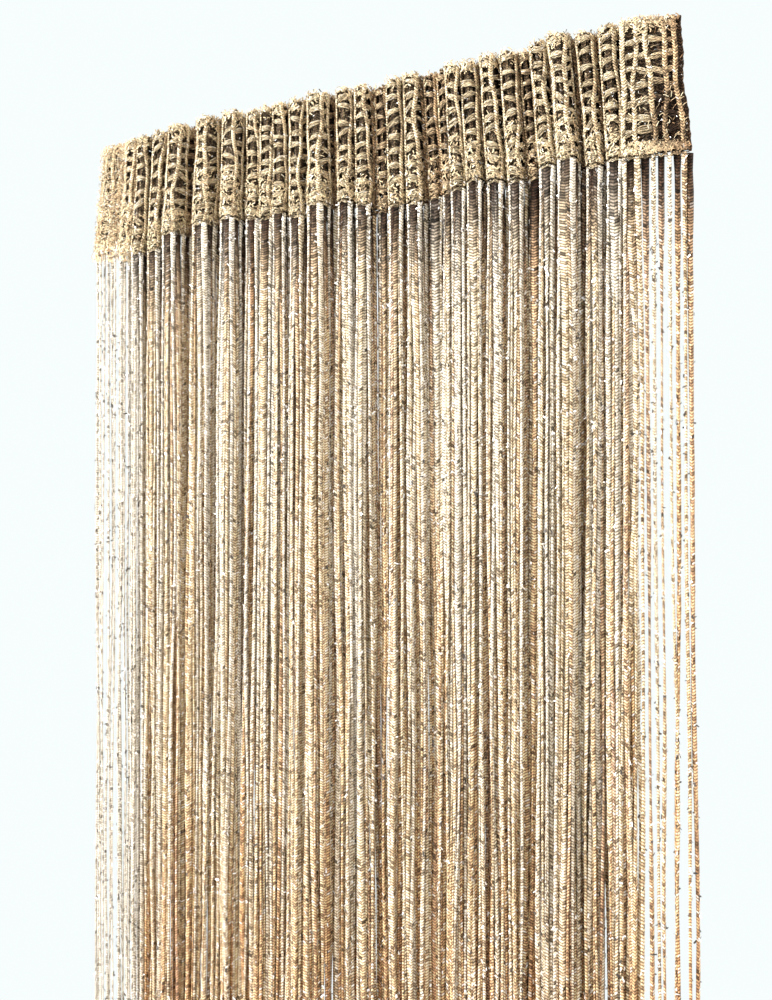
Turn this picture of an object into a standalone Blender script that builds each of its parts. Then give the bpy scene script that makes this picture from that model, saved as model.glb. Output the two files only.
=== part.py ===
"""String curtain on a gathered rod-pocket header, hanging.

Origin at the middle of the header's top edge. X runs along the width, -Y is the front, Z is up.
"""

import math

import bmesh
import bpy
import numpy as np

LENGTH = 2.000
HEADER_HEIGHT = 0.080
CELL = 1.0 / 60
CELL_BAR = 0.0049
RUNG = 0.0054
GAP_ROWS = 5
CLOTH = 0.0010
LAYER = 0.0010
VALLEY_Y = 0.0065
TOP_DEPTH_SHARE = 0.80
TOP_RISE_SHARE = 1 / 3
LINE_BOW = 0.0015
LINE_BOW_WAVE = 0.370

STRIP_CLEAR = 0.0003
STRIP_HEIGHT = 0.0040
STRIP_TOP_HALF = 0.0013
STRAND_HALF = 0.0007
STRINGS_PER_CELL = 4
STRAND_WIDE = 0.0024
END_UNEVEN = 0.012
END_DRIFT = 0.0030
END_DRIFT_WAVES = (0.26, 0.20)
OWN_DRIFT = 0.0004

# One row per fold, left to right: net cells across it, gathered width in mm,
# sideways lean at the hem in mm, height of its top over the lowest top in mm.
FOLDS = (
    (2, 24.1, -8.0, 0.4),
    (2, 14.9, -6.5, 1.2),
    (2, 12.8, -5.5, 0.6),
    (2, 16.2, -4.5, 1.4),
    (3, 22.9, -4.5, 0.2),
    (3, 26.7, -2.0, 1.6),
    (3, 19.4, -0.5, 1.0),
    (2, 12.0, 0.0, 0.3),
    (2, 10.2, 0.5, 1.1),
    (2, 10.5, 0.5, 0.7),
    (2, 15.9, 1.0, 1.5),
    (3, 20.9, 1.5, 0.9),
    (2, 16.1, 2.0, 1.7),
    (2, 11.9, 2.0, 0.5),
    (1, 11.2, 2.5, 0.0),
    (2, 12.5, 3.0, 1.0),
    (2, 13.2, 3.5, 1.3),
    (1, 9.7, 4.0, 0.4),
    (1, 8.7, 4.5, 0.8),
    (2, 9.7, 5.0, 1.2),
    (2, 11.9, 5.5, 0.6),
    (2, 15.5, 6.0, 1.5),
    (2, 11.8, 6.5, 0.7),
    (1, 7.9, 7.0, 0.2),
    (2, 12.6, 7.0, 1.1),
    (3, 16.9, 7.5, 1.6),
    (2, 13.9, 7.0, 0.9),
    (2, 15.6, 5.0, 0.5),
    (2, 22.3, 1.0, 1.4),
    (1, 11.5, 6.0, 0.3),
)
WAVE_STEPS = 120


def widest_turn(ratio):
    """The largest turn of a fold's path, in radians, that gathers it to this share of its length."""
    phase = (np.arange(WAVE_STEPS) + 0.5) / WAVE_STEPS
    low, high = 0.0, 2.3
    for _ in range(40):
        middle = (low + high) / 2
        if np.cos(middle * np.sin(2 * math.pi * phase)).mean() > ratio:
            low = middle
        else:
            high = middle
    return low


def gathered_line():
    """The folded line of the header seen from above: path length, x, y and direction along it."""
    path, xs, ys, turns = [0.0], [0.0], [0.0], [0.0]
    for cells, width, _, _ in FOLDS:
        run = cells * CELL
        turn = widest_turn(width / 1000 / run)
        step = run / WAVE_STEPS
        for i in range(WAVE_STEPS):
            angle = turn * math.sin(2 * math.pi * (i + 0.5) / WAVE_STEPS)
            path.append(path[-1] + step)
            xs.append(xs[-1] + step * math.cos(angle))
            ys.append(ys[-1] - step * math.sin(angle))
            turns.append(turn * math.sin(2 * math.pi * (i + 1) / WAVE_STEPS))
    xs = np.array(xs) - xs[-1] / 2
    return np.array(path), xs, np.array(ys) + VALLEY_Y, np.array(turns)


PATH, LINE_X, LINE_Y, LINE_TURN = gathered_line()
FOLD_ENDS = np.concatenate([[0.0], np.cumsum([fold[0] * CELL for fold in FOLDS])])
FOLD_MIDDLES = (FOLD_ENDS[1:] + FOLD_ENDS[:-1]) / 2
LEAN = np.array([fold[2] for fold in FOLDS]) / 1000
TOP_RISE = np.array([fold[3] for fold in FOLDS]) / 1000
TOTAL_PATH = PATH[-1]


def wave(place, height, length):
    return height * math.sin(2 * math.pi * place / length + 0.6)


def hung(along, off, height):
    """Where a point of the flat cloth hangs: along its width, off its middle sheet, below its top."""
    x = np.interp(along, PATH, LINE_X)
    y = np.interp(along, PATH, LINE_Y)
    turn = np.interp(along, PATH, LINE_TURN)
    down = min(-height / HEADER_HEIGHT, 1.0)
    depth = TOP_DEPTH_SHARE + (1 - TOP_DEPTH_SHARE) * down
    x = x - off * math.sin(turn) + np.interp(along, FOLD_MIDDLES, LEAN) * down
    y = y * depth - off * math.cos(turn) + wave(x, LINE_BOW, LINE_BOW_WAVE)
    lift = np.interp(along, FOLD_MIDDLES, TOP_RISE) - TOP_RISE.max()
    return x, y, height + lift * max(0.0, 1.0 - down / TOP_RISE_SHARE)


def material(name, colour, roughness):
    made = bpy.data.materials.new(name)
    made.use_nodes = True
    shader = made.node_tree.nodes["Principled BSDF"]
    shader.inputs["Base Color"].default_value = (*colour, 1.0)
    shader.inputs["Roughness"].default_value = roughness
    return made


def finished(bm, name, collection, cloth):
    """The bmesh as an object in the collection, shaded smooth."""
    mesh = bpy.data.meshes.new(name)
    bm.to_mesh(mesh)
    bm.free()
    mesh.polygons.foreach_set("use_smooth", [True] * len(mesh.polygons))
    mesh.materials.append(cloth)
    piece = bpy.data.objects.new(name, mesh)
    collection.objects.link(piece)
    return piece


def header_columns():
    """Positions across the flat band: one bar and a gap two faces wide in each cell."""
    inner = (0.0, CELL_BAR, CELL_BAR + (CELL - CELL_BAR) / 2)
    cells = round(TOTAL_PATH / CELL)
    return [c * CELL + step for c in range(cells) for step in inner] + [TOTAL_PATH]


def header_rows():
    """(side, height) up the front from the hem, over the top and down the back."""
    gap = (HEADER_HEIGHT - (GAP_ROWS + 1) * RUNG) / GAP_ROWS
    heights = [-HEADER_HEIGHT]
    for _ in range(GAP_ROWS):
        heights += [heights[-1] + RUNG, heights[-1] + RUNG + gap]
    heights.append(-CLOTH / 2)
    front = [(1, height) for height in heights]
    back = [(-1, -CLOTH / 2), (-1, -HEADER_HEIGHT)]
    return front + back


def header(collection, cloth):
    columns = header_columns()
    rows = header_rows()
    across = len(columns) - 1
    up = len(rows) - 1
    bm = bmesh.new()
    bmesh.ops.create_grid(bm, x_segments=across, y_segments=up, size=0.5)
    gaps = []
    for face in bm.faces:
        middle = face.calc_center_median()
        column = int((middle.x + 0.5) * across)
        row = int((middle.y + 0.5) * up)
        if column % 3 and row % 2 and row < 2 * GAP_ROWS:
            gaps.append(face)
    bmesh.ops.delete(bm, geom=gaps, context="FACES")
    for vert in bm.verts:
        side, height = rows[round((vert.co.y + 0.5) * up)]
        vert.co = hung(columns[round((vert.co.x + 0.5) * across)], side * LAYER, height)
    piece = finished(bm, "header", collection, cloth)
    wall = piece.modifiers.new("cloth", "SOLIDIFY")
    wall.thickness = CLOTH
    wall.offset = 0.0
    wall.use_even_offset = True
    wall.use_quality_normals = True
    return piece


def strings(collection, cloth):
    """A narrow strip below the hem with the strings drawn down out of its lower side."""
    count = round(TOTAL_PATH / CELL) * STRINGS_PER_CELL
    pitch = TOTAL_PATH / count
    margin = (pitch - STRAND_WIDE) / 2
    columns = [0.0]
    for i in range(count):
        columns += [i * pitch + margin, (i + 1) * pitch - margin]
    columns.append(TOTAL_PATH)
    across = len(columns) - 1
    top = -HEADER_HEIGHT - STRIP_CLEAR - CLOTH / 2
    bottom = top - STRIP_HEIGHT
    bm = bmesh.new()
    bmesh.ops.create_grid(bm, x_segments=across, y_segments=1, size=0.5)
    for vert in bm.verts:
        column = round((vert.co.x + 0.5) * across)
        vert.co = (columns[column], math.copysign(STRIP_TOP_HALF, vert.co.y), top)
    sheet = list(bm.faces)
    low = bmesh.ops.extrude_face_region(bm, geom=sheet, use_keep_orig=True)["geom"]
    for vert in (v for v in low if isinstance(v, bmesh.types.BMVert)):
        vert.co.y = math.copysign(STRAND_HALF, vert.co.y)
        vert.co.z = bottom
    roots = []
    for face in (f for f in low if isinstance(f, bmesh.types.BMFace)):
        place = face.calc_center_median().x / pitch
        if abs(place - math.floor(place) - 0.5) < 0.1:
            roots.append(face)
    ends = bmesh.ops.extrude_face_region(bm, geom=roots)["geom"]
    bmesh.ops.delete(bm, geom=roots, context="FACES_ONLY")
    for vert in (v for v in ends if isinstance(v, bmesh.types.BMVert)):
        place = math.floor(vert.co.x / pitch)
        vert.co.z = END_UNEVEN / 2 - LENGTH + wave(place, END_UNEVEN / 2, 2.63)
    for vert in bm.verts:
        place = math.floor(vert.co.x / pitch)
        free = vert.co.z < -LENGTH / 2
        x, y, z = hung(vert.co.x, -vert.co.y, vert.co.z)
        if free:
            x += wave(x, END_DRIFT, END_DRIFT_WAVES[0]) + wave(place, OWN_DRIFT, 1.3)
            y += wave(x, END_DRIFT, END_DRIFT_WAVES[1]) + wave(place, OWN_DRIFT, 1.7)
        vert.co = (x, y, z)
    bmesh.ops.recalc_face_normals(bm, faces=bm.faces)
    return finished(bm, "strings", collection, cloth)


def main():
    for obj in list(bpy.data.objects):
        bpy.data.objects.remove(obj, do_unlink=True)
    collection = bpy.data.collections.new("string_curtain")
    bpy.context.scene.collection.children.link(collection)
    header(collection, material("header_yarn", (0.58, 0.47, 0.29), 0.75))
    strings(collection, material("string_yarn", (0.66, 0.55, 0.38), 0.7))


main()
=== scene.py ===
"""String curtain: a ladder-net header, flat knitted strings and bits of metallic thread."""

import collections
import math

import bpy
import numpy as np
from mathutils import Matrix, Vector


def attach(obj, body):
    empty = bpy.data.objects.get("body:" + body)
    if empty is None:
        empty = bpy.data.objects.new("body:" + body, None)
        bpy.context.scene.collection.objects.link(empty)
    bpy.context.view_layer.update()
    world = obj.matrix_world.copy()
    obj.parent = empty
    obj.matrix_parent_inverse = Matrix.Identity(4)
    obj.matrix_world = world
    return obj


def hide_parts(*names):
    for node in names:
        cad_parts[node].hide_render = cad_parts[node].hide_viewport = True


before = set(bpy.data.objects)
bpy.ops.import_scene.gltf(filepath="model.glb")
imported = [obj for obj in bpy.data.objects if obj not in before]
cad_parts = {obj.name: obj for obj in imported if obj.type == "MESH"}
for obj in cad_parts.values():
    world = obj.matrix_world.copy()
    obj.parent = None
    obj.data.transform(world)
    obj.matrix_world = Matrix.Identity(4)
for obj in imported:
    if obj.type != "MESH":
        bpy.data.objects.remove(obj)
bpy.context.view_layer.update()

# The header's sizes and folds, in metres, as the solids have them.
LENGTH = 2.000
HEADER_HEIGHT = 0.080
CELL = 1.0 / 60
VALLEY_Y = 0.0065
TOP_DEPTH_SHARE = 0.80
TOP_RISE_SHARE = 1 / 3
LINE_BOW = 0.0015
LINE_BOW_WAVE = 0.370
END_UNEVEN = 0.012
END_UNEVEN_WAVE = 2.63
END_DRIFT = 0.0030
END_DRIFT_WAVES = (0.26, 0.20)

# One row per fold, left to right: net cells across it, gathered width in mm,
# sideways lean at the hem in mm, height of its top over the lowest top in mm.
FOLDS = (
    (2, 24.1, -8.0, 0.4),
    (2, 14.9, -6.5, 1.2),
    (2, 12.8, -5.5, 0.6),
    (2, 16.2, -4.5, 1.4),
    (3, 22.9, -4.5, 0.2),
    (3, 26.7, -2.0, 1.6),
    (3, 19.4, -0.5, 1.0),
    (2, 12.0, 0.0, 0.3),
    (2, 10.2, 0.5, 1.1),
    (2, 10.5, 0.5, 0.7),
    (2, 15.9, 1.0, 1.5),
    (3, 20.9, 1.5, 0.9),
    (2, 16.1, 2.0, 1.7),
    (2, 11.9, 2.0, 0.5),
    (1, 11.2, 2.5, 0.0),
    (2, 12.5, 3.0, 1.0),
    (2, 13.2, 3.5, 1.3),
    (1, 9.7, 4.0, 0.4),
    (1, 8.7, 4.5, 0.8),
    (2, 9.7, 5.0, 1.2),
    (2, 11.9, 5.5, 0.6),
    (2, 15.5, 6.0, 1.5),
    (2, 11.8, 6.5, 0.7),
    (1, 7.9, 7.0, 0.2),
    (2, 12.6, 7.0, 1.1),
    (3, 16.9, 7.5, 1.6),
    (2, 13.9, 7.0, 0.9),
    (2, 15.6, 5.0, 0.5),
    (2, 22.3, 1.0, 1.4),
    (1, 11.5, 6.0, 0.3),
)
WAVE_STEPS = 120

# How much higher than the straight hem each fold's bottom hangs, in mm, left to right.
HEM_RISE = (
    *(6, 3, -5, -5, 3, 6, 6, 5, 3, 6),
    *(1, 5, 6, 2, -3, -3, -4, 0, 1, 0),
    *(4, 1, -2, 0, 4, 4, -2, 0, -1, 0),
)

# How far up from the hem the closer knitting reaches on each fold, as a per cent of the height.
KNIT_SHARE = (
    *(55, 45, 30, 22, 20, 52, 45, 38, 40, 25),
    *(20, 30, 42, 18, 25, 20, 38, 30, 24, 42),
    *(36, 22, 45, 28, 20, 34, 26, 30, 8, 6),
)

# The panels at both ends lie almost flat: the left one with its stitches pushed close together,
# and the right one spread out beside a deep fold.
FLAT_FOLDS = 2
FLAT_SHARE = 0.30
FLAT_STEP = 0.008
STEP_PATH = 0.014
STEP_WIDTH = 0.003
STEP_TURN = 1.3
PANEL_Y = -0.0065
PANEL_END_Y = 0.0050
PANEL_TURN = -0.33
PANEL_TURN_RATE = 6

# The net's wales.
WALES = 120
WALE_PITCH = 1.0 / WALES
WALE_HALF = 0.00150
WALE_THICK = 0.00085
WALE_OFF = 0.00150
WALE_SWELL = 0.25
WALE_ARCH = 0.002
WALE_ARCH_RISE = 0.0004
WALE_TIP = (-0.0016, 0.0010)
WALE_TIP_REACH = 0.010
WALE_GOLD = 0.30
BEAD = 0.0018
# Painted shade on the inner side of the net's yarn, between the two layers.
NET_SHADE = 0.95
NET_MARGIN = 0.0004
# How the wales stray to the side: size, rate down the wale, step from wale to wale.
WALE_WANDER = ((0.0015, 52, 2.4), (0.0006, 170, 4.1))
WANDER_HEM = 0.012
# The depth from which the folded line counts as a valley, and over how much more it deepens.
VALLEY_DEPTHS = (-0.004, 0.010)
# The painted shade of the hollow low down where the right end turns back, as starts and spans:
# its sides from the cloth's end, and its top and bottom in shares of the height.
HOLLOW_SIDES = ((-0.023, 0.004), (-0.004, -0.003))
HOLLOW_EDGES = ((0.45, 0.15), (0.97, -0.05))
HOLLOW_SHADE = 0.96

# The net's rungs, of a few filaments each. They fill more of the gaps at the left and low down.
RUNG_ROWS = 9
RUNG_PITCH = HEADER_HEIGHT / RUNG_ROWS
RUNG_OFF = 0.00115
RUNG_SAG = 0.00015
RUNG_OFF_UNEVEN = 0.0003
RUNG_TILT = 0.0004
RUNG_MARGINS = (0.0006, 0.0003)
RUNG_STITCHES = 3.3
RUNG_SPREAD = 0.84
RUNG_SPREAD_LOW = 0.55
PACKED = 1.8
PACKED_LOSS = 0.15
FILAMENT_HALF = 0.00056
BACK_FILAMENT_HALF = 0.00115

# Kinds of rung: the limits between their shares of all rungs, and a row for each kind with the
# distance between its filaments at its left end, at its right end and more in its middle.
RUNG_KIND_LIMITS = (0.40, 0.65)
RUNG_KINDS = (
    (0.00028, 0.00112, 0.00012),
    (0.00105, 0.00034, 0.00012),
    (0.00038, 0.00040, 0.00065),
)

# What differs between the net's two layers: side, first wale in pitches from the end, stations of
# a wale, filaments of a rung and their stations, and how uneven a rung's height, slope and
# swelling are.
Layer = collections.namedtuple("Layer", "side start stations filaments steps jitter slope swelling")
FRONT = Layer(1, 0.5, 84, 4, 4, 0.0009, 0.0013, 0.3)
BACK = Layer(-1, 1.0, 34, 5, 3, 0.0001, 0.0002, 0.0)
# Painted shade that darkens the whole back layer of the net, which lies behind the front one.
BACK_NET_SHADE = 0.15

# Loops and fuzz on the net.
FUZZ = 9000
FUZZ_HALF = 0.00018
FUZZ_REACH = 0.0038
FUZZ_OFF = 0.0022
FUZZ_AT_LEFT = (0.0005, 0.036)
FUZZ_AT_TOP = (-0.0030, 0.0012)
KNIT_LOOPS = 9000
TOP_LOOPS = 3600
TOP_LOOP_REACH = 0.010
TOP_LOOP_RISE = 0.0008
LOOP_OFF = (0.0018, 0.0028)
LOOP_LENGTH = (0.0016, 0.0030)
LOOP_HALF = (0.00024, 0.00042)
FRAYED_LOOPS = 420
FRAYED_ALONG = 0.066
FRAYED_START = 0.0005
FRAYED_REACH = 0.011
FRAYED_OFF = (0.0008, 0.0030)
FRAYED_LENGTH = (0.0025, 0.0065)
FRAYED_HALF = (0.00022, 0.00038)
END_MARGIN = 0.001

# Cords along the edges: offset, height, half thickness, and how much painted shade darkens each.
EDGE_CORDS = (
    (0.0013, -HEADER_HEIGHT + 0.0010, 0.00060, 0.0),
    (0.0013, -HEADER_HEIGHT - 0.0022, 0.00050, 0.0),
    (-0.0013, -HEADER_HEIGHT + 0.0010, 0.00060, 0.0),
    (-0.0013, -HEADER_HEIGHT - 0.0022, 0.00050, 0.0),
    (0.0, -0.0004, 0.0007, 0.0),
    (0.0, -HEADER_HEIGHT - 0.0008, 0.0012, 0.25),
)
CORD_STEP = 0.0012
CORD_SWELL_STEP = 0.0035
CORD_STITCH = 0.0015
# Painted shade on the underside of each cord.
CORD_SHADE = 0.5
# How the cords ripple, up and down and in and out: size, rate along the cord.
CORD_RISE = (0.0005, 1500)
CORD_SWING = (0.0003, 2100)
CORD_SWELL_RISE = 0.0006

# The strings. The inner ones hang between the header's two layers.
STRINGS = 240
STRING_HALF = 0.00150
STRING_HALF_HEM = 0.00190
BACK_HALF = 0.00175
BACK_HALF_HEM = 0.00310
STRING_THICK = 0.00075
STRING_STATIONS = 96
STRING_TOP = 0.0015
STRING_LAYER = 0.0010
INNER_STRINGS = 212
INNER_FIRST = 20.5
INNER_HALF = 0.00150
INNER_STATIONS = 44
INNER_LAYER = (-0.0016, -0.0002)
STITCH = 0.0018
STITCH_SHIFTS = 900
ANY_PHASE = 6.28

# The strings sway and twist, more and more down to this drop: lengths and sizes of the waves.
LOOSE_DROP = 0.35
SWAYS = ((1.7, 0.0016), (0.62, 0.0011), (0.27, 0.0006))
TWISTS = ((0.9, 0.9), (0.33, 0.5))

# They are shifted to the side to hang more evenly, as seen from this place, in x and y.
VIEWED_FROM = (0.41, -0.69)
SPREAD = 0.85
SPREAD_DROP = 0.12
SPREAD_MOST = 0.006
EVEN_STRINGS = 5
EVEN_STATIONS = 4

# Where along the hem a change sets in: the string's number, and over how many strings.
SPREAD_LEFT, SPREAD_RIGHT = (12, 6), (236, -5)
THIN_LEFT, THIN_RIGHT = (22, -6), (230, 5)
THIN_LEFT_LOSS, THIN_RIGHT_LOSS = 0.6, 0.32
# PALE_LEFT is where the strings at the left end start to be painted pale: a painted highlight.
PALE_LEFT, DEEP_RIGHT = (21, -4), (222, 8)

# How much deeper the tone of the front, back and inner strings is. This is painted shade: the back
# and inner strings, which hang behind the front ones, are deeper.
FRONT_BIAS, BACK_BIAS, INNER_BIAS = -0.20, 0.15, 0.32

# Shade round a string under the hem: its start and slope across the string, from back to front,
# and how far down it reaches.
FRONT_SHADE = (0.1, -0.9, 0.046)
BACK_SHADE = (1.0, 0.9, 0.046)
INNER_SHADE = (1.0, 0.0, 0.060)

# Bits of metallic thread.
FRONT_FLECKS = 50000
BACK_FLECKS = 34000
BACK_BARE = 0.045
NET_FLECKS = 1600
NET_FLECK_HALF = 0.00022
NET_FLECK_REACH = 0.0013
NET_FLECK_TONE = 0.85
FLECK_LENGTH = (0.0012, 0.0030)
FLECK_HALF = (0.00040, 0.00085)
FLECK_OFF = (0.0001, 0.0006)
FLECK_CLUMPS = 70
CLUMP_SIZE = 0.0010
CLUMPED_SHARE = 0.5
# Share of the flecks that are given a dark tone, and that tone: painted dark reflection of the
# metal.
DARK_REFLECTION_SHARE = 0.40
DARK_REFLECTION_METAL = (0.09, 0.08, 0.075)
BRIGHT_METAL = (0.98, 0.98, 1.0)

UP = np.array([0.0, 0.0, 1.0])
FLAT_RING = np.array([(1.0, 0.0), (0.0, 1.0), (-1.0, 0.0), (0.0, -1.0)])
STRING_RING = np.array(
    [(1.0, 0.0), (0.55, 1.0), (-0.55, 1.0), (-1.0, 0.0), (-0.55, -1.0), (0.55, -1.0)]
)

# Linear colours.
PALE = (0.93, 0.87, 0.75)
CREAM = (0.92, 0.77, 0.55)
GOLD = (0.83, 0.61, 0.38)
TAN = (0.67, 0.41, 0.225)
NET_CREAM = (0.95, 0.79, 0.53)
NET_GOLD = (0.79, 0.57, 0.34)
ROSE = (0.62, 0.47, 0.39)
BROWN = (0.27, 0.135, 0.062)
# The dark that all the painted shade mixes toward.
SHADE_DARK = (0.024, 0.010, 0.006)
YARN_CAP = (0.80, 0.775, 0.715)
# Near white of the painted glints on stitches of metallic thread.
GLINT = (0.90, 0.90, 0.89, 1.0)

# The deeper colours of the strings: colour, growth with the tone's depth, start, growth down the
# string, largest share.
DEEPER = (
    (CREAM, 2.2, 0.0, 0.30, 1.0),
    (GOLD, 1.9, -0.55, 0.25, 1.0),
    (TAN, 1.8, -0.95, 0.20, 0.9),
)
# How much red, green and blue the strings lose down to LOW_DROP, and again below DIM_DROP.
LOW_DROP = 0.6
LOW_LOSS = np.array([0.07, 0.17, 0.26])
DIM_DROP, DIM_SPAN = 0.38, 0.15
DIM_LOSS = np.array([0.09, 0.15, 0.18])

# Levels of the yarn's shades: slope and start of each.
LANES = (0.45, 0.55)
LANE_SHARPNESS = 3.5
STITCH_PEAK = 1.45
GRAIN = (1.7, 0.15)
PATCH_START = 0.5
STITCH_UNEVEN = (1.20, 0.26)
STITCH_DULL = -0.62
KIND_SCRAMBLE = 13.7
GLINT_GAIN = 1.6

# The camera, the room's light and the stage.
LENS, SENSOR, SHIFT_Y = 43.56, 36.0, 0.0709
EYE = (0.4091, -0.6871, -0.3381)
YAW, PITCH = 29.127, 1.2526
ROOM_COLOUR = (1.0, 0.905, 0.79, 1.0)
ROOM_STRENGTH = 1.44
SURROUND_COLOUR = (0.93, 0.985, 0.985, 1.0)
SURROUND_RADIUS = 14.0
FLOOR_COLOURS = ((0.86, 0.88, 0.88, 1.0), (0.90, 0.92, 0.92, 1.0))
FLOOR_RADIUS = 1.9
FLOOR_CLEAR = 0.03
# name, place, what it faces, width, height, watts, colour
LAMPS = (
    ("key", (-1.5, -1.9, 0.40), (0.0, 0.0, -0.30), 0.45, 1.5, 64.0, (1.0, 0.985, 0.96)),
    ("top", (-0.5, -0.9, 1.5), (0.0, 0.0, -0.1), 0.6, 0.6, 44.0, (1.0, 0.98, 0.95)),
    ("back", (1.6, 2.0, 0.3), (0.0, 0.0, -0.8), 1.2, 1.8, 40.0, (1.0, 0.99, 0.97)),
)

rng = np.random.default_rng(11)


def ramp(value, start, span):
    """0 up to start, and 1 from start + span on. A negative span runs the other way."""
    return np.clip((value - start) / span, 0.0, 1.0)


def widest_turn(ratio):
    """The largest turn of a fold's path, in radians, that gathers it to this share of its run."""
    phase = (np.arange(WAVE_STEPS) + 0.5) / WAVE_STEPS
    low, high = 0.0, 2.3
    for _ in range(40):
        middle = (low + high) / 2
        if np.cos(middle * np.sin(2 * math.pi * phase)).mean() > ratio:
            low = middle
        else:
            high = middle
    return low


def gathered_line():
    """The folded line of the header seen from above: path length, x, y and direction along it."""
    path, xs, ys, turns = [0.0], [0.0], [0.0], [0.0]
    for cells, width, _, _ in FOLDS:
        run = cells * CELL
        turn = widest_turn(width / 1000 / run)
        step = run / WAVE_STEPS
        for i in range(WAVE_STEPS):
            angle = turn * math.sin(2 * math.pi * (i + 0.5) / WAVE_STEPS)
            path.append(path[-1] + step)
            xs.append(xs[-1] + step * math.cos(angle))
            ys.append(ys[-1] - step * math.sin(angle))
            turns.append(turn * math.sin(2 * math.pi * (i + 1) / WAVE_STEPS))
    xs = np.array(xs) - xs[-1] / 2
    return np.array(path), xs, np.array(ys) + VALLEY_Y, np.array(turns)


def hung_line():
    """The folded line with its left end flattened and its right end spread into a panel."""
    path, xs, ys, turns = gathered_line()
    folded = FLAT_SHARE + (1 - FLAT_SHARE) * ramp(path, FOLD_ENDS[FLAT_FOLDS], FLAT_STEP)
    left_y = ys[path < FOLD_ENDS[FLAT_FOLDS]].mean()
    ys = left_y + (ys - left_y) * folded
    turns = turns * folded

    right = path >= FOLD_ENDS[-1 - FLAT_FOLDS]
    into = path[right] - path[right][0]
    stepped = ramp(into, 0.0, STEP_PATH)
    spread_out = ramp(into, STEP_PATH, into[-1] - STEP_PATH)
    first_x, width = xs[right][0], xs[right][-1] - xs[right][0]
    xs[right] = first_x + STEP_WIDTH * stepped + (width - STEP_WIDTH) * spread_out
    ys[right] = VALLEY_Y + (PANEL_Y - VALLEY_Y) * stepped ** 2 * (3 - 2 * stepped)
    ys[right] += (PANEL_END_Y - PANEL_Y) * spread_out
    turns[right] = STEP_TURN * np.sin(math.pi * stepped)
    turns[right] += PANEL_TURN * np.clip(spread_out * PANEL_TURN_RATE, 0.0, 1.0)
    return path, xs, ys, turns


FOLD_ENDS = np.concatenate([[0.0], np.cumsum([fold[0] * CELL for fold in FOLDS])])
FOLD_MIDDLES = (FOLD_ENDS[1:] + FOLD_ENDS[:-1]) / 2
LEAN = np.array([fold[2] for fold in FOLDS]) / 1000
TOP_RISE = np.array([fold[3] for fold in FOLDS]) / 1000
RISE = np.array(HEM_RISE) / 1000
PATH, LINE_X, LINE_Y, LINE_TURN = hung_line()
TOTAL_PATH = PATH[-1]


def wave(place, height, length):
    return height * np.sin(2 * math.pi * place / length + 0.6)


def hung(along, off, height):
    """Points of the hung cloth, for arrays of place along its width, offset and height."""
    along, off, height = np.broadcast_arrays(along, off, height)
    x = np.interp(along, PATH, LINE_X)
    y = np.interp(along, PATH, LINE_Y)
    turn = np.interp(along, PATH, LINE_TURN)
    down = np.minimum(-height / HEADER_HEIGHT, 1.0)
    depth = TOP_DEPTH_SHARE + (1 - TOP_DEPTH_SHARE) * down
    x = x - off * np.sin(turn) + np.interp(along, FOLD_MIDDLES, LEAN) * down
    y = y * depth - off * np.cos(turn) + wave(x, LINE_BOW, LINE_BOW_WAVE)
    lift = np.interp(along, FOLD_MIDDLES, TOP_RISE) - TOP_RISE.max()
    z = height + lift * np.clip(1.0 - down / TOP_RISE_SHARE, 0.0, 1.0)
    z = z + np.interp(along, FOLD_MIDDLES, RISE) * np.maximum(down, 0.0) ** 2
    return np.stack([x, y, z], axis=-1)


def directions(along):
    """Unit vectors along the folded line and out of its front, level."""
    turn = np.interp(along, PATH, LINE_TURN)
    zero = np.zeros_like(turn)
    ahead = np.stack([np.cos(turn), -np.sin(turn), zero], axis=-1)
    front = np.stack([-np.sin(turn), -np.cos(turn), zero], axis=-1)
    return ahead, front


def valley_at(along):
    """How deep in a valley between the folds a place along the folded line is, from 0 to 1."""
    return ramp(np.interp(along, PATH, LINE_Y), *VALLEY_DEPTHS)


def unit(vectors):
    return vectors / np.maximum(np.linalg.norm(vectors, axis=-1, keepdims=True), 1e-9)


def mixed(first, second, share):
    """Colour arrays between two colours."""
    share = np.asarray(share)[..., None]
    return np.asarray(first) * (1 - share) + np.asarray(second) * share


def ring_of(sides, turned=0.0):
    angle = 2 * math.pi * (np.arange(sides) + turned) / sides
    return np.stack([np.cos(angle), np.sin(angle)], axis=1)


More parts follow.
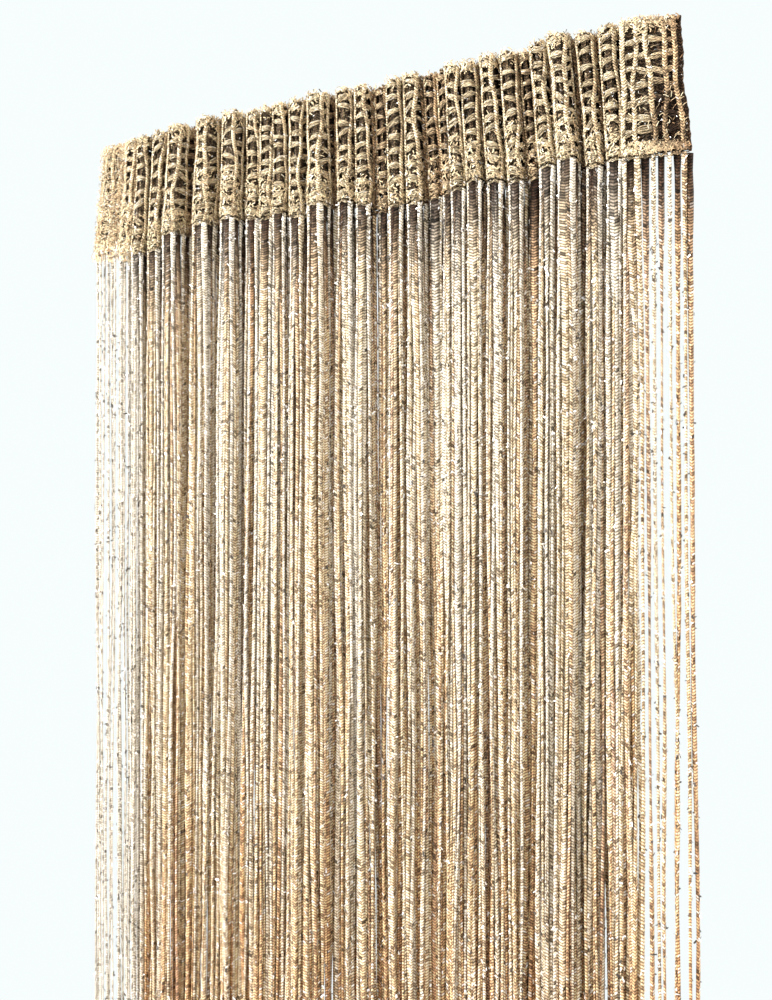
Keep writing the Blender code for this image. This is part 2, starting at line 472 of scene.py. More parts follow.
class Yarn:
    """Gathers many tubes and ribbons into one mesh."""

    def __init__(self):
        self.points, self.corners, self.sizes, self.places, self.tones = [], [], [], [], []
        self.count = 0

    def keep(self, points, polygons, place, tone):
        self.points.append(points.reshape(-1, 3))
        self.places.append(place.reshape(-1, 2))
        self.tones.append(np.broadcast_to(tone, points.shape).reshape(-1, 3))
        for faces in polygons:
            self.corners.append((faces + self.count).ravel())
            self.sizes.append(np.full(len(faces), faces.shape[1]))
        self.count += len(self.points[-1])

    def tubes(self, centre, side, out, wide, thick, ring, run, tone, shade=0.0):
        """Closed tubes: centre is (tubes, stations, 3), and ring is the outline of one station.

        run counts stitches along a tube, and shade is how much painted shade darkens the side that
        faces away from out.
        """
        many, stations = centre.shape[:2]
        sides = len(ring)
        wide = np.broadcast_to(wide, (many, stations))[..., None, None]
        thick = np.broadcast_to(thick, (many, stations))[..., None, None]
        shape = ring[None, None]
        points = centre[:, :, None] + side[:, :, None] * shape[..., :1] * wide
        points = points + out[:, :, None] * shape[..., 1:] * thick
        corner = np.arange(sides)
        start = (np.arange(many) * stations * sides)[:, None, None]
        station = start + (np.arange(stations - 1) * sides)[None, :, None]
        here, after = station + corner, station + np.roll(corner, -1)
        walls = np.stack([here, after, after + sides, here + sides], axis=-1).reshape(-1, 4)
        first = start[:, 0] + corner[::-1]
        last = start[:, 0] + (stations - 1) * sides + corner
        place = np.empty((many, stations, sides, 2))
        place[..., 0] = ring[:, 0]
        place[..., 1] = np.broadcast_to(run, (many, stations))[..., None]
        tone = np.asarray(tone)
        if tone.ndim == 3:
            tone = tone[:, :, None]
        # Painted shade on the side of the tube that faces away from out.
        painted_shade = shade * np.clip(0.25 - 1.2 * ring[:, 1], 0.0, 1.0)
        tone = mixed(np.broadcast_to(tone, points.shape), SHADE_DARK, painted_shade)
        self.keep(points, [walls, first, last], place, tone)

    def ribbons(self, line, across, tone):
        """Flat ribbons: line is (ribbons, stations, 3) and across their half width."""
        many, stations = line.shape[:2]
        points = np.stack([line - across, line + across], axis=2)
        start = (np.arange(many) * stations * 2)[:, None] + np.arange(stations - 1) * 2
        faces = np.stack([start, start + 1, start + 3, start + 2], axis=-1).reshape(-1, 4)
        place = np.zeros((many, stations, 2, 2))
        place[..., 1] = rng.integers(0, STITCH_SHIFTS, (many, 1, 1)) + 0.5
        self.keep(points, [faces], place, np.asarray(tone)[:, None, None])

    def made(self, name, material, slot, *nodes):
        mesh = bpy.data.meshes.new(name)
        corners = np.concatenate(self.corners).astype(np.int32)
        sizes = np.concatenate(self.sizes)
        starts = np.concatenate([[0], np.cumsum(sizes)[:-1]]).astype(np.int32)
        mesh.vertices.add(self.count)
        mesh.vertices.foreach_set("co", np.concatenate(self.points).astype(np.float32).ravel())
        mesh.loops.add(len(corners))
        mesh.loops.foreach_set("vertex_index", corners)
        mesh.polygons.add(len(sizes))
        mesh.polygons.foreach_set("loop_start", starts)
        mesh.update(calc_edges=True)
        mesh.polygons.foreach_set("use_smooth", np.ones(len(sizes), bool))
        places = np.concatenate(self.places)[corners].astype(np.float32)
        mesh.uv_layers.new(name="stitches").data.foreach_set("uv", places.ravel())
        tones = np.ones((self.count, 4), np.float32)
        tones[:, :3] = np.concatenate(self.tones)
        colours = mesh.color_attributes.new("tone", "FLOAT_COLOR", "POINT")
        colours.data.foreach_set("color", tones.ravel())
        mesh.materials.append(material)
        piece = bpy.data.objects.new(name, mesh)
        bpy.context.scene.collection.objects.link(piece)
        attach(piece, "root")
        if nodes:
            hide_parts(*nodes)
        return piece


class Nodes:
    """Short names for building a node tree."""

    def __init__(self, name):
        self.material = bpy.data.materials.new(name)
        self.material.use_nodes = True
        self.tree = self.material.node_tree
        self.shader = self.tree.nodes["Principled BSDF"]

    def put(self, value, socket):
        if isinstance(value, bpy.types.NodeSocket):
            self.tree.links.new(value, socket)
        else:
            socket.default_value = value

    def maths(self, operation, *values):
        node = self.tree.nodes.new("ShaderNodeMath")
        node.operation = operation
        for value, socket in zip(values, node.inputs):
            self.put(value, socket)
        return node.outputs[0]

    def scaled(self, value, slope, start):
        return self.maths("ADD", self.maths("MULTIPLY", value, slope), start)

    def new(self, kind, **inputs):
        node = self.tree.nodes.new(kind)
        for key, value in inputs.items():
            self.put(value, node.inputs[key.replace("_", " ")])
        return node

    def place(self):
        return self.new("ShaderNodeTexCoord").outputs["Object"]

    def tone(self):
        node = self.new("ShaderNodeVertexColor")
        node.layer_name = "tone"
        return node.outputs["Color"]

    def times(self, colour, level):
        node = self.new("ShaderNodeVectorMath")
        node.operation = "SCALE"
        self.put(colour, node.inputs[0])
        self.put(level, node.inputs["Scale"])
        return node.outputs[0]


def yarn_material(name, roughness, slant, groove, dim, gleam):
    """Knitted yarn: its tone from the mesh, V-shaped stitches of uneven shade along it, and fibres.

    slant is the slope of a stitch's two lanes, and groove is the level of the painted shade between
    two stitches. dim and gleam are the shares of its stitches that are dark and that show the
    metallic thread as painted white glints.
    """
    n = Nodes(name)
    uv = n.new("ShaderNodeUVMap")
    uv.uv_map = "stitches"
    split = n.new("ShaderNodeSeparateXYZ", Vector=uv.outputs["UV"])
    across = n.maths("ABSOLUTE", split.outputs["X"])
    row = n.maths("ADD", split.outputs["Y"], n.maths("MULTIPLY", across, slant))
    swing = n.maths("COSINE", n.maths("MULTIPLY", n.maths("FRACT", row), 2 * math.pi))
    loop = n.maths("SUBTRACT", 0.5, n.maths("MULTIPLY", swing, 0.5))
    lane = n.maths("GREATER_THAN", split.outputs["X"], 0.0)
    pick = n.new("ShaderNodeCombineXYZ", X=n.maths("FLOOR", row), Y=lane)
    chance = n.new("ShaderNodeTexWhiteNoise", Vector=pick.outputs[0]).outputs["Value"]
    kind = n.maths("FRACT", n.maths("MULTIPLY", chance, KIND_SCRAMBLE))

    place = n.place()
    fibres = n.new("ShaderNodeTexNoise", Vector=place, Scale=1100.0, Detail=1.0).outputs["Fac"]
    blotch = n.new("ShaderNodeTexNoise", Vector=place, Scale=260.0, Detail=2.0).outputs["Fac"]
    tone = n.tone()
    # The tops of the stitches are painted lighter, and the lines between the two lanes and between
    # stitches darker: painted shade of the stitches' relief.
    centre = n.maths("MINIMUM", n.maths("MULTIPLY", across, LANE_SHARPNESS), 1.0)
    stitch = n.maths("MULTIPLY", loop, n.scaled(centre, *LANES))
    ground = n.scaled(stitch, STITCH_PEAK - groove, groove)
    grain = n.scaled(fibres, *GRAIN)
    patch = n.maths("ADD", blotch, PATCH_START)
    uneven = n.scaled(n.maths("SQRT", chance), *STITCH_UNEVEN)
    dark_speck = n.scaled(n.maths("LESS_THAN", kind, dim), STITCH_DULL, 1.0)
    fine = n.maths("MULTIPLY", ground, grain)
    level = n.maths("MULTIPLY", n.maths("MULTIPLY", fine, n.maths("MULTIPLY", patch, uneven)), dark_speck)

    capped = n.new("ShaderNodeVectorMath")
    capped.operation = "MINIMUM"
    n.put(n.times(tone, level), capped.inputs[0])
    capped.inputs[1].default_value = YARN_CAP
    # Stitches of metallic thread are painted near white as glints, less where the tone is dark.
    red = n.new("ShaderNodeSeparateColor", Color=tone).outputs["Red"]
    metal = n.maths("GREATER_THAN", kind, 1.0 - gleam)
    glint = n.maths("MULTIPLY", n.maths("MULTIPLY", stitch, red), metal)
    mix = n.new("ShaderNodeMix")
    mix.data_type = "RGBA"
    n.put(n.maths("MINIMUM", n.maths("MULTIPLY", glint, GLINT_GAIN), 1.0), mix.inputs[0])
    n.put(capped.outputs[0], mix.inputs[6])
    mix.inputs[7].default_value = GLINT
    n.put(mix.outputs[2], n.shader.inputs["Base Color"])
    height = n.maths("ADD", loop, n.maths("MULTIPLY", fibres, 0.35))
    bump = n.new("ShaderNodeBump", Height=height, Strength=0.6, Distance=0.0005)
    n.put(bump.outputs["Normal"], n.shader.inputs["Normal"])
    n.shader.inputs["Roughness"].default_value = roughness
    n.shader.inputs["Sheen Weight"].default_value = 0.03
    n.shader.inputs["Sheen Roughness"].default_value = 0.4
    n.shader.inputs["Specular IOR Level"].default_value = 0.08
    return n.material


def metal_material():
    """Silver metallised thread: bright, a little rough, with a slightly uneven shade."""
    n = Nodes("metallic_thread")
    cast = n.new("ShaderNodeTexNoise", Vector=n.place(), Scale=500.0, Detail=1.0).outputs["Fac"]
    n.put(n.times(n.tone(), n.scaled(cast, 0.3, 0.85)), n.shader.inputs["Base Color"])
    n.shader.inputs["Metallic"].default_value = 0.40
    n.shader.inputs["Roughness"].default_value = 0.32
    return n.material


def wale_tone(along, height, inner):
    """Tone of the net's yarn, cream to gold, with painted shade: brown in the valleys, darker on
    the flanks that face away from the light, dark in the hollow at the right end, and darker all
    over by inner.
    """
    # Painted shade: brown and dark between the folds and on the flanks that face away from the
    # light. The gold is partly at random and partly deeper in the valleys.
    valley = valley_at(along)
    flank_in_shade = ramp(-np.interp(along, PATH, LINE_TURN), 0.0, 1.1)
    golden = np.clip(0.05 + 0.6 * valley + rng.normal(0, 0.20, valley.shape), 0, 1)
    tone = mixed(NET_CREAM, NET_GOLD, golden)
    tone = mixed(tone, BROWN, np.clip(0.78 * valley ** 1.5 + 0.25 * flank_in_shade, 0, 0.94))
    tone = mixed(tone, SHADE_DARK, 0.7 * valley * flank_in_shade)
    # Painted shade of the hollow where the right end turns back.
    left, right = (ramp(along - TOTAL_PATH, *side) for side in HOLLOW_SIDES)
    top, bottom = (ramp(-height / HEADER_HEIGHT, *edge) for edge in HOLLOW_EDGES)
    tone = mixed(tone, SHADE_DARK, HOLLOW_SHADE * left * right * top * bottom)
    # Painted shade that darkens a whole layer by inner.
    return mixed(tone, SHADE_DARK, inner)


def wander(wale, down):
    """How far to the side a wale strays at a distance below the top."""
    stray = sum(size * np.sin(rate * down + step * wale) for size, rate, step in WALE_WANDER)
    return stray * ramp(down, HEADER_HEIGHT, -WANDER_HEM)


def wales(yarn, first, last, layer, inner):
    """Chains of stitches down one layer of the net, bent over its top edge."""
    down = np.linspace(0, HEADER_HEIGHT, layer.stations)[None]
    along = layer.start * WALE_PITCH + np.arange(first, last)[:, None] * WALE_PITCH
    along = along + wander(np.arange(first, last)[:, None], down)
    many = len(along)
    height = np.broadcast_to(-down, along.shape)
    along = np.clip(along, NET_MARGIN, TOTAL_PATH - NET_MARGIN)
    arch = ramp(down, 0.0, WALE_ARCH)
    centre = hung(along, layer.side * WALE_OFF * np.sqrt(1 - (1 - arch) ** 2), height)
    tip = rng.uniform(*WALE_TIP, (many, 1))
    centre[..., 2] += WALE_ARCH_RISE * (1 - arch) + tip * (1 - ramp(down, 0.0, WALE_TIP_REACH))
    ahead, front = directions(along)
    level = front * layer.side * np.maximum(arch, 0.05)[..., None]
    out = unit(level + UP * (1 - arch)[..., None])
    run = down / BEAD + rng.uniform(0, STITCH_SHIFTS, (many, 1))
    swell = 1 - WALE_SWELL * np.cos(2 * math.pi * run)
    wide = WALE_HALF * swell * rng.uniform(0.85, 1.15, (many, 1))
    tone = mixed(wale_tone(along, height, inner), NET_GOLD, WALE_GOLD)
    ring = ring_of(6, 0.5)
    yarn.tubes(centre, ahead, out, wide, WALE_THICK * swell, ring, run, tone, NET_SHADE)


def rungs(yarn, first, last, layer, inner):
    """Filaments from each wale of one layer of the net to the next."""
    left = layer.start * WALE_PITCH + np.arange(first, min(last, WALES - 1)) * WALE_PITCH
    cell, row, strand = np.meshgrid(
        np.arange(len(left)), np.arange(RUNG_ROWS), np.arange(layer.filaments), indexing="ij"
    )

    def each(value):
        """A value for each rung or filament, as a column with a row for each filament."""
        return np.broadcast_to(value, cell.shape).ravel()[:, None]

    shape = cell.shape[:2]
    middle = (row + 0.5) * RUNG_PITCH + rng.normal(0, layer.jitter, shape)[..., None]
    kind = np.searchsorted(RUNG_KIND_LIMITS, rng.uniform(0, 1, shape)[..., None], side="right")
    near, far, bulge = np.array(RUNG_KINDS).T[:, kind]
    low = (row / RUNG_ROWS) ** 2
    spread = RUNG_SPREAD + RUNG_SPREAD_LOW * low
    spread = spread + layer.swelling * rng.random(shape)[..., None]
    spread = spread * np.clip(PACKED - (first + cell) * PACKED_LOSS, 1.0, PACKED)
    if layer is BACK:
        near = far = RUNG_PITCH / layer.filaments
        bulge, spread = 0.0, 1.0
    place = each((strand - (layer.filaments - 1) / 2) * spread)
    tilt = each(rng.normal(RUNG_TILT, layer.slope, shape)[..., None])
    t = np.linspace(0, 1, layer.steps)
    apart = each(near) * (1 - t) + each(far) * t + each(bulge) * np.sin(math.pi * t)
    depth = each(middle) + place * apart + tilt * (1 - 2 * t)
    depth = np.clip(depth, RUNG_MARGINS[0], HEADER_HEIGHT - RUNG_MARGINS[1])
    many = len(depth)

    wale = first + each(cell)
    along = left[cell.ravel()][:, None] + t * WALE_PITCH
    along = along + wander(wale, depth) * (1 - t) + wander(wale + 1, depth) * t
    along = np.clip(along, NET_MARGIN, TOTAL_PATH - NET_MARGIN)
    uneven = rng.uniform(-RUNG_OFF_UNEVEN, RUNG_OFF_UNEVEN, (many, 1))
    off = layer.side * (RUNG_OFF + RUNG_SAG * np.sin(math.pi * t) + uneven)
    centre = hung(along, off, -depth)
    out = directions(along)[1] * layer.side
    up = np.broadcast_to(UP, centre.shape)
    if layer is BACK:
        half, thin, ring = BACK_FILAMENT_HALF, 0.35, ring_of(3, 0.75)
    else:
        half, thin, ring = FILAMENT_HALF * rng.uniform(0.8, 1.25, (many, 1)), 0.7, ring_of(4)
    run = RUNG_STITCHES * t + rng.uniform(0, STITCH_SHIFTS, (many, 1))
    tone = wale_tone(along, -depth, inner)
    tone = tone * (1.15 - 0.12 * each(strand)[..., None]) * rng.uniform(0.7, 1.15, (many, 1, 1))
    yarn.tubes(centre, up, out, half, half * thin, ring, run, tone, NET_SHADE)


def net(yarn, first, last, layer, inner):
    """One layer of the ladder net between two wales. inner is how much painted shade darkens it all
    over.
    """
    wales(yarn, first, last, layer, inner)
    rungs(yarn, first, last, layer, inner)


def cord_along(yarn, off, height, half, inner):
    """A thin uneven cord that follows the folds from end to end."""
    along = np.arange(CORD_STEP / 2, TOTAL_PATH - CORD_STEP / 2, CORD_STEP)[None]
    knots = np.arange(0, TOTAL_PATH, CORD_SWELL_STEP)
    swell = np.interp(along, knots, rng.uniform(0.25, 1.3, len(knots)))
    rise, swing = (size * np.sin(along * rate) for size, rate in (CORD_RISE, CORD_SWING))
    drop = height + rise + CORD_SWELL_RISE * (swell - 0.8)
    centre = hung(along, off + swing, drop)
    front = directions(along)[1]
    up = np.broadcast_to(UP, centre.shape)
    tone = wale_tone(along, drop, inner)
    thick = half * swell
    run = along / CORD_STITCH
    yarn.tubes(centre, front, up, thick, thick, ring_of(4), run, tone, CORD_SHADE)


def curled(base, along, slope, length, bend, stations):
    """Lines of loops of yarn that lie on the net at a slope, and the direction across them."""
    ahead = directions(along)[0]
    heading = ahead * np.sin(slope) + UP * np.cos(slope)
    across = (ahead * np.cos(slope) - UP * np.sin(slope))[:, None]
    t = np.linspace(-0.5, 0.5, stations)[None, :, None]
    line = base[:, None] + heading[:, None] * length * t
    return line + across * length * bend * (1 - 4 * t ** 2), across


def knitting(yarn, count, at_top):
    """Small loops of yarn on the net, along its top edge or low down, where it is closer knit."""
    along = rng.uniform(END_MARGIN, TOTAL_PATH - END_MARGIN, count)
    if at_top:
        height = TOP_LOOP_RISE - TOP_LOOP_REACH * rng.random(count) ** 1.4
    else:
        share = np.asarray(KNIT_SHARE)[np.searchsorted(FOLD_ENDS, along) - 1] / 100
        height = -HEADER_HEIGHT * (1 - share * rng.random(count) ** 1.1)
    base = hung(along, rng.uniform(*LOOP_OFF, count), height)
    slope = (rng.uniform(0.2, 1.3, count) * rng.choice((-1, 1), count))[:, None]
    length = rng.uniform(*LOOP_LENGTH, (count, 1, 1))
    bend = rng.uniform(-0.35, 0.35, (count, 1, 1))
    line, across = curled(base, along, slope, length, bend, 3)
    tone = wale_tone(along, height, 0.0) * rng.uniform(0.55, 1.05, (count, 1))
    yarn.ribbons(line, across * rng.uniform(*LOOP_HALF, (count, 1, 1)), tone)


def frayed(yarn, count):
    """Loose loops of yarn below the hem of the left panel."""
    along = rng.uniform(END_MARGIN, FRAYED_ALONG, count)
    height = -HEADER_HEIGHT - FRAYED_START - FRAYED_REACH * rng.random(count) ** 1.8
    base = hung(along, rng.uniform(*FRAYED_OFF, count), height)
    slope = rng.uniform(-1.7, 1.7, (count, 1))
    length = rng.uniform(*FRAYED_LENGTH, (count, 1, 1))
    bend = rng.uniform(-0.5, 0.5, (count, 1, 1))
    line, across = curled(base, along, slope, length, bend, 5)
    tone = mixed(NET_CREAM, BROWN, rng.random(count) ** 2)
    yarn.ribbons(line, across * rng.uniform(*FRAYED_HALF, (count, 1, 1)), tone)


def evened(centre):
    """Sideways shift that closes the gaps between the strings, as seen from the front right."""
    dx = centre[..., 0] - VIEWED_FROM[0]
    dy = centre[..., 1] - VIEWED_FROM[1]
    bearing = np.arctan2(dx, dy)
    order = np.argsort(bearing, axis=0)
    ranked = np.take_along_axis(bearing, order, axis=0)
    reach = EVEN_STRINGS
    before = 2 * ranked[:1] - ranked[reach:0:-1]
    after = 2 * ranked[-1:] - ranked[-2 : -2 - reach : -1]
    padded = np.concatenate([before, ranked, after])
    window = 2 * reach + 1
    smooth = sum(padded[i : i + len(ranked)] for i in range(window)) / window
    target = np.empty_like(bearing)
    np.put_along_axis(target, order, smooth, axis=0)
    shift = (target - bearing) * (dx ** 2 + dy ** 2) / dy
    shift = np.clip(shift, -SPREAD_MOST, SPREAD_MOST)
    padded = np.pad(shift, ((0, 0), (EVEN_STATIONS, EVEN_STATIONS)), mode="edge")
    window = 2 * EVEN_STATIONS + 1
    return sum(padded[:, i : i + shift.shape[1]] for i in range(window)) / window


def string_tone(along, number, z, drop, bias):
    """Tones down the strings: painted pale at the left end as a painted highlight, deeper in the
    valleys and behind as painted shade, warmer lower down, and dark near the hem as painted shade.
    """
    many = len(number)
    plain = np.where(rng.random((many, 1)) < 0.68, 0.34, 0.0) + 0.20 * ramp(number, *DEEP_RIGHT)
    # The depth of tone is partly random and partly painted shade, deeper in the valleys and by the
    # layer's bias.
    deep = 0.5 * valley_at(along) + bias + plain + rng.normal(0, 0.15, (many, 1))
    phase = rng.uniform(0, ANY_PHASE, (many, 1))
    deep = np.clip(np.clip(deep, 0, 1) + 0.12 * np.sin(z * 9 + phase), 0, 1)
    low = ramp(drop, 0.0, LOW_DROP)
    tone = PALE
    for colour, growth, start, lower, most in DEEPER:
        tone = mixed(tone, colour, np.clip(growth * deep + start + lower * low, 0, most))
    tone = mixed(tone, ROSE, np.clip(1.6 * deep - 0.8, 0, 0.7) * rng.random((many, 1)) ** 2)
    tone = tone * (1 - low[..., None] ** 1.5 * LOW_LOSS)
    tone = tone * (1 - ramp(drop, DIM_DROP, DIM_SPAN)[..., None] * DIM_LOSS)
    # Painted highlight: the strings at the left end are painted pale.
    tone = mixed(tone, PALE, 0.85 * ramp(number, *PALE_LEFT))
    # Painted shade just under the hem on the strings of deeper tone.
    return mixed(tone, SHADE_DARK, np.clip(np.exp(-drop / 0.04) * (1.1 * deep - 0.4), 0, 0.9))


def string_lines(number, layer, hem_half, half, stations, bias):
    """Strings hung from the hem: centre lines, directions across them, half sizes, tones and drop.

    number counts along the hem, layer is the distance in front of the cloth's middle, hem_half and
    half are half the width at the hem and lower down, and bias makes the tone deeper as painted
    shade.
    """
    many = len(number)
    number, layer = number[:, None].astype(float), layer[:, None]
    hem_half, half, bias = (
        np.broadcast_to(value, many)[:, None] for value in (hem_half, half, bias)
    )
    along = np.minimum((number + 1) * TOTAL_PATH / STRINGS, TOTAL_PATH - END_MARGIN)
    top = -HEADER_HEIGHT - STRING_TOP + np.interp(along, FOLD_MIDDLES, RISE)
    end = END_UNEVEN / 2 - LENGTH + wave(number, END_UNEVEN / 2, END_UNEVEN_WAVE)
    z = top + (end - top) * np.linspace(0, 1, stations)[None] ** 1.15
    drop = top - z
    off = layer * np.clip(1 - drop / 0.03, 0.3, 1)
    centre = hung(along + 0 * z, off, np.full_like(z, -HEADER_HEIGHT))
    loose = ramp(drop, 0.0, LOOSE_DROP) ** 1.3
    for axis in (0, 1):
        for length, size in SWAYS:
            phase = rng.uniform(0, ANY_PHASE, (many, 1))
            span = length * rng.uniform(0.8, 1.25, (many, 1))
            strength = size * rng.uniform(0.4, 1.3, (many, 1))
            centre[..., axis] += loose * strength * np.sin(2 * math.pi * z / span + phase)
        drift = wave(centre[:, :1, 0], END_DRIFT, END_DRIFT_WAVES[axis])
        centre[..., axis] += ramp(drop, 0.0, LENGTH / 2) * drift
    inland = ramp(number, *SPREAD_LEFT) * ramp(number, *SPREAD_RIGHT)
    centre[..., 0] += SPREAD * inland * ramp(drop, 0.0, SPREAD_DROP) * evened(centre)
    centre[..., 2] = z

    twist = np.zeros_like(z)
    for length, size in TWISTS:
        phase = rng.uniform(0, ANY_PHASE, (many, 1))
        strength = loose * size * rng.uniform(0.3, 1.5, (many, 1))
        twist += strength * np.sin(2 * math.pi * z / length + phase)
    twist += rng.normal(0, 0.5, (many, 1)) * ramp(drop, 0.0, 0.08)
    twist += np.interp(along, PATH, LINE_TURN) * 0.75 * ramp(drop, 0.0, 0.12)
    turned, facing = np.sin(twist)[..., None], np.cos(twist)[..., None]
    ahead, front = directions(along + 0 * z)
    side = ahead * facing + front * turned
    out = front * facing - ahead * turned

    grown = ramp(drop, 0.0, 0.10)
    thinned = THIN_LEFT_LOSS * ramp(number, *THIN_LEFT)
    thinned = thinned + THIN_RIGHT_LOSS * ramp(number, *THIN_RIGHT)
    wide = (hem_half + (half - hem_half) * grown) * rng.uniform(0.75, 1.35, (many, 1))
    wide = wide * (1 - thinned) * rng.uniform(0.84, 1.16, z.shape)
    thick = STRING_THICK * (1.25 - 0.25 * grown) * rng.uniform(0.9, 1.15, (many, 1))
    return centre, side, out, wide, thick, string_tone(along, number, z, drop, bias), drop


def shaded(number, tone, drop, ring, shade):
    """Tones round each string, with painted shade near the hem on the side that faces the other
    layer.
    """
    start, slope, reach = shade
    inward = np.clip(start + slope * ring[:, 1], 0, 1)
    strength = rng.uniform(0.93, 1.0, (len(drop), 1, 1))
    strength = strength * np.clip((number - 12) / 8, 0.1, 1)[:, None, None]
    painted_shade = inward * strength * np.exp(-((drop / reach) ** 2.2))[..., None]
    return mixed(tone[:, :, None], SHADE_DARK, painted_shade)


def flecks(yarn, count, bare, centre, side, out, wide, thick):
    """Short flat bits of metallic thread that stand out of the strings, many of them in clumps.

    bare is the share of each string, from the hem down, that has none.
    """
    many, stations = centre.shape[:2]
    string = rng.integers(0, many, count)
    where = rng.random(count) ** 1.2
    clump = rng.random((many, FLECK_CLUMPS))
    clumped = clump[string, rng.integers(0, FLECK_CLUMPS, count)]
    clumped = clumped + rng.normal(0, CLUMP_SIZE, count)
    where = np.where(rng.random(count) < CLUMPED_SHARE, clumped, where)
    place = np.clip(bare + (1 - bare) * where, 0.0, 0.999) * (stations - 1)
    index = place.astype(int)
    part = (place - index)[:, None]

    def at(values):
        return values[string, index] * (1 - part) + values[string, index + 1] * part

    middle, across, outward = at(centre), at(side), at(out)
    half = wide[string, index][:, None]
    deep = thick[string, index][:, None]
    angle = rng.uniform(0, 2 * math.pi, (count, 1))
    base = middle + across * half * np.cos(angle) * 0.95 + outward * deep * np.sin(angle) * 1.05
    away = unit(across * np.cos(angle) + outward * np.sin(angle))
    heading = unit(rng.normal(0, 1, (count, 3)) * [0.5, 0.5, 1.0] + away * 0.3)
    length = rng.uniform(*FLECK_LENGTH, (count, 1))
    t = np.array([-0.5, 0.5])
    line = base[:, None] + heading[:, None] * length[:, None] * t[None, :, None]
    line = line + away[:, None] * rng.uniform(*FLECK_OFF, (count, 1, 1))
    flat = unit(np.cross(heading, away) + rng.normal(0, 0.35, (count, 3)))
    thin = rng.uniform(*FLECK_HALF, (count, 1, 1)) * rng.uniform(0.5, 1.0, (count, 2, 1))
    # A share of the flecks are painted dark, as the metal's dark reflection.
    dark_speck = (rng.random(count) < DARK_REFLECTION_SHARE)[:, None]
    yarn.ribbons(line, flat[:, None] * thin, np.where(dark_speck, DARK_REFLECTION_METAL, BRIGHT_METAL))


def header_flecks(yarn, count, half, reach, metal):
    """Bits of thread standing off the net, of yarn or of metal, more of them low down.

    There are also more bits of yarn on the left panel and along the top edge.
    """
    along = rng.uniform(END_MARGIN, TOTAL_PATH - END_MARGIN, count)
    side = np.where(rng.random(count) < 0.65, 1.0, -1.0)
    height = -rng.uniform(0.0, HEADER_HEIGHT, count)
    group = rng.random(count)
    height = np.where(group < 0.35, -rng.uniform(0.5, 1.0, count) * HEADER_HEIGHT, height)
    if not metal:
        along = np.where(group > 0.82, rng.uniform(*FUZZ_AT_LEFT, count), along)
        on_edge = (group > 0.35) & (group < 0.50)
        height = np.where(on_edge, rng.uniform(*FUZZ_AT_TOP, count), height)
    base = hung(along, side * FUZZ_OFF, height)
    away = directions(along)[1] * side[:, None]
    heading = unit(rng.normal(0, 1, (count, 3)))
    length = rng.uniform(reach * 0.5, reach, (count, 1))
    t = np.array([-0.5, 0.0, 0.5])
    line = base[:, None] + heading[:, None] * length[:, None] * t[None, :, None]
    line = line + away[:, None] * (length[:, None] * 0.22 * (1 - (2 * t[None, :, None]) ** 2))
    flat = unit(np.cross(heading, away) + rng.normal(0, 0.3, (count, 3)))
    if metal:
        tone = np.full((count, 3), NET_FLECK_TONE)
    else:
        tone = mixed(NET_CREAM, BROWN, rng.random(count) ** 2)
    yarn.ribbons(line, flat[:, None] * (half * rng.uniform(0.7, 1.2, (count, 1, 1))), tone)


def stage():
    """A pale floor under the curtain, a white surround and soft studio light."""
    bpy.ops.mesh.primitive_circle_add(
        vertices=96, radius=FLOOR_RADIUS, fill_type="NGON", location=(0, 0, -LENGTH - FLOOR_CLEAR)
    )
    floor = bpy.context.object
    floor.name = "floor"
    n = Nodes("floor_paint")
    soft = n.new("ShaderNodeTexNoise", Vector=n.place(), Scale=3.0, Detail=2.0).outputs["Fac"]
    paint = n.new("ShaderNodeValToRGB", Fac=soft)
    for element, colour in zip(paint.color_ramp.elements, FLOOR_COLOURS):
        element.color = colour
    n.put(paint.outputs["Color"], n.shader.inputs["Base Color"])
    n.shader.inputs["Roughness"].default_value = 0.8
    floor.data.materials.append(n.material)

    bpy.ops.mesh.primitive_uv_sphere_add(segments=48, ring_count=24, radius=SURROUND_RADIUS)
    surround = bpy.context.object
    surround.name = "surround"
    white = bpy.data.materials.new("surround_white")
    white.use_nodes = True
    tree = white.node_tree
    tree.nodes.clear()
    glow = tree.nodes.new("ShaderNodeEmission")
    glow.inputs["Color"].default_value = SURROUND_COLOUR
    glow.inputs["Strength"].default_value = 1.0
    surface = tree.nodes.new("ShaderNodeOutputMaterial").inputs["Surface"]
    tree.links.new(glow.outputs[0], surface)
    surround.data.materials.append(white)
    surround.visible_diffuse = False
    surround.visible_shadow = False
    surround.visible_transmission = False

    world = bpy.data.worlds.new("room")
    bpy.context.scene.world = world
    world.use_nodes = True
    room = world.node_tree.nodes["Background"]
    room.inputs["Color"].default_value = ROOM_COLOUR
    room.inputs["Strength"].default_value = ROOM_STRENGTH
    for name, spot, target, width, height, watts, colour in LAMPS:
        lamp = bpy.data.lights.new(name, "AREA")
        lamp.shape = "RECTANGLE"
        lamp.size = width
        lamp.size_y = height
        lamp.energy = watts
        lamp.color = colour
        holder = bpy.data.objects.new(name, lamp)
        bpy.context.scene.collection.objects.link(holder)
        holder.location = spot
        aim = Vector(target) - Vector(spot)
        holder.rotation_euler = aim.to_track_quat("-Z", "Y").to_euler()


def camera():
    lens = bpy.data.cameras.new("camera")
    lens.lens = LENS
    lens.sensor_width = SENSOR
    lens.shift_y = SHIFT_Y
    lens.clip_start = 0.01
    eye = bpy.data.objects.new("camera", lens)
    bpy.context.scene.collection.objects.link(eye)
    eye.location = EYE
    yaw, pitch = math.radians(YAW), math.radians(PITCH)
    level = math.cos(pitch)
    look = Vector((-math.sin(yaw) * level, math.cos(yaw) * level, math.sin(pitch)))
    eye.rotation_euler = look.to_track_quat("-Z", "Y").to_euler()
    bpy.context.scene.camera = eye


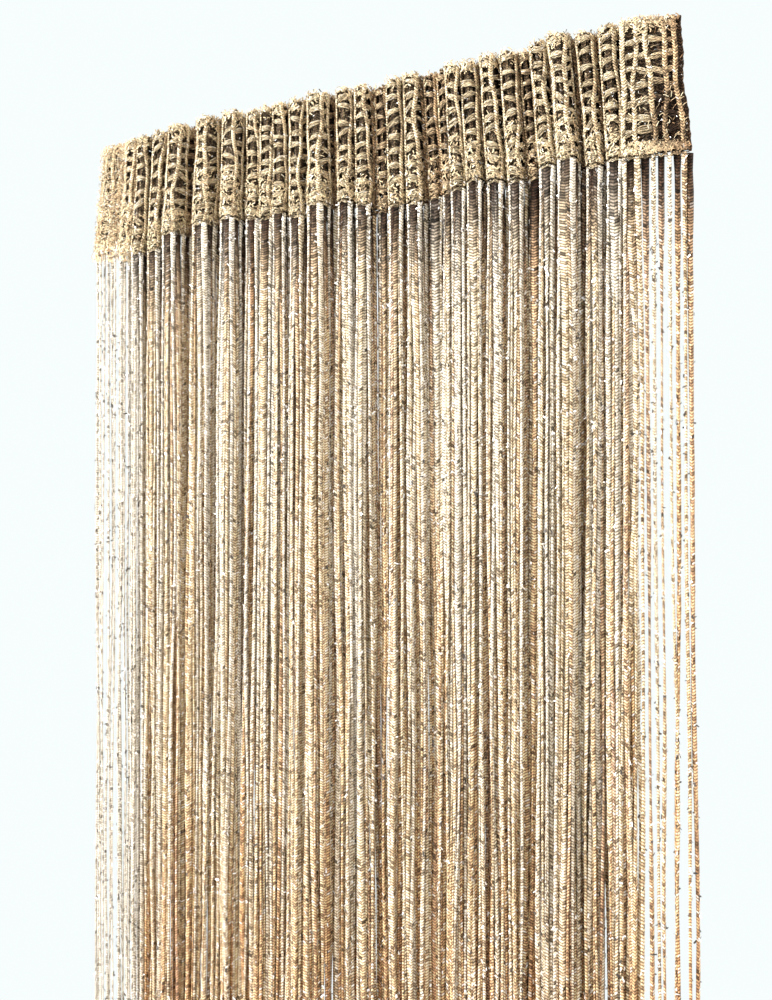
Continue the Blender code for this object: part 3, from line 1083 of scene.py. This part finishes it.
def header(header_yarn):
    """The net's two layers, and the cords, loops and fuzz along its edges."""
    half = WALES // 2
    for name, first, last in (("net_left", 0, half), ("net_right", half, WALES)):
        yarn = Yarn()
        net(yarn, first, last, FRONT, 0.0)
        piece = yarn.made(name, header_yarn, "header_yarn", "header")
    yarn = Yarn()
    net(yarn, 0, WALES, BACK, BACK_NET_SHADE)
    piece = yarn.made("net_back", header_yarn, "header_yarn", "header")

    yarn = Yarn()
    for cord in EDGE_CORDS:
        cord_along(yarn, *cord)
    header_flecks(yarn, FUZZ, FUZZ_HALF, FUZZ_REACH, False)
    knitting(yarn, KNIT_LOOPS, False)
    knitting(yarn, TOP_LOOPS, True)
    frayed(yarn, FRAYED_LOOPS)
    yarn.made("edge_cords", header_yarn, "header_yarn", "header", "strings")


def strings(string_yarn, silver):
    """The strings of both layers with their metallic thread, and the strings in between."""
    number = np.arange(STRINGS)
    in_front = number % 2 == 0
    lines = string_lines(
        number,
        np.where(in_front, STRING_LAYER, -STRING_LAYER),
        np.where(in_front, STRING_HALF_HEM, BACK_HALF_HEM),
        np.where(in_front, STRING_HALF, BACK_HALF),
        STRING_STATIONS,
        np.where(in_front, FRONT_BIAS, BACK_BIAS),
    )
    centre, side, out, wide, thick, tone, drop = lines
    run = -centre[..., 2] / (STITCH * rng.uniform(0.88, 1.15, (STRINGS, 1)))
    run = run + rng.uniform(0, STITCH_SHIFTS, (STRINGS, 1))
    middle = STRINGS // 2
    sets = (
        ("strings_front_left", slice(0, middle, 2), STRING_RING, FRONT_SHADE),
        ("strings_front_right", slice(middle, STRINGS, 2), STRING_RING, FRONT_SHADE),
        ("strings_back", slice(1, STRINGS, 2), FLAT_RING, BACK_SHADE),
    )
    for name, part, ring, shade in sets:
        yarn = Yarn()
        sizes = (centre[part], side[part], out[part], wide[part], thick[part])
        colour = shaded(number[part], tone[part], drop[part], ring, shade)
        yarn.tubes(*sizes, ring, run[part], colour)
        yarn.made(name, string_yarn, "string_yarn", "strings")

    silver_bits = Yarn()
    flecks(silver_bits, FRONT_FLECKS, 0.0, *(part[0::2] for part in lines[:5]))
    flecks(silver_bits, BACK_FLECKS, BACK_BARE, *(part[1::2] for part in lines[:5]))
    header_flecks(silver_bits, NET_FLECKS, NET_FLECK_HALF, NET_FLECK_REACH, True)
    silver_bits.made("metal_flecks", silver, "metallic_thread")

    # The strings in between get a deeper tone and painted shade near the hem, which darken the gaps
    # under it.
    number = INNER_FIRST + np.arange(INNER_STRINGS) + rng.uniform(-0.3, 0.3, INNER_STRINGS)
    layer = rng.uniform(*INNER_LAYER, INNER_STRINGS)
    *sizes, tone, drop = string_lines(
        number, layer, INNER_HALF, INNER_HALF, INNER_STATIONS, INNER_BIAS
    )
    run = -sizes[0][..., 2] / STITCH + rng.uniform(0, STITCH_SHIFTS, (INNER_STRINGS, 1))
    colour = shaded(number, tone, drop, FLAT_RING, INNER_SHADE)
    yarn = Yarn()
    yarn.tubes(*sizes, FLAT_RING, run, colour)
    yarn.made("strings_inner", string_yarn, "string_yarn", "strings")


def main():
    bpy.context.scene.view_settings.view_transform = "Standard"
    camera()
    stage()
    header_yarn = yarn_material("header_yarn", 0.72, 0.8, 0.20, 0.16, 0.03)
    string_yarn = yarn_material("string_yarn", 0.66, 0.65, 0.24, 0.12, 0.08)
    silver = metal_material()
    header(header_yarn)
    strings(string_yarn, silver)


main()
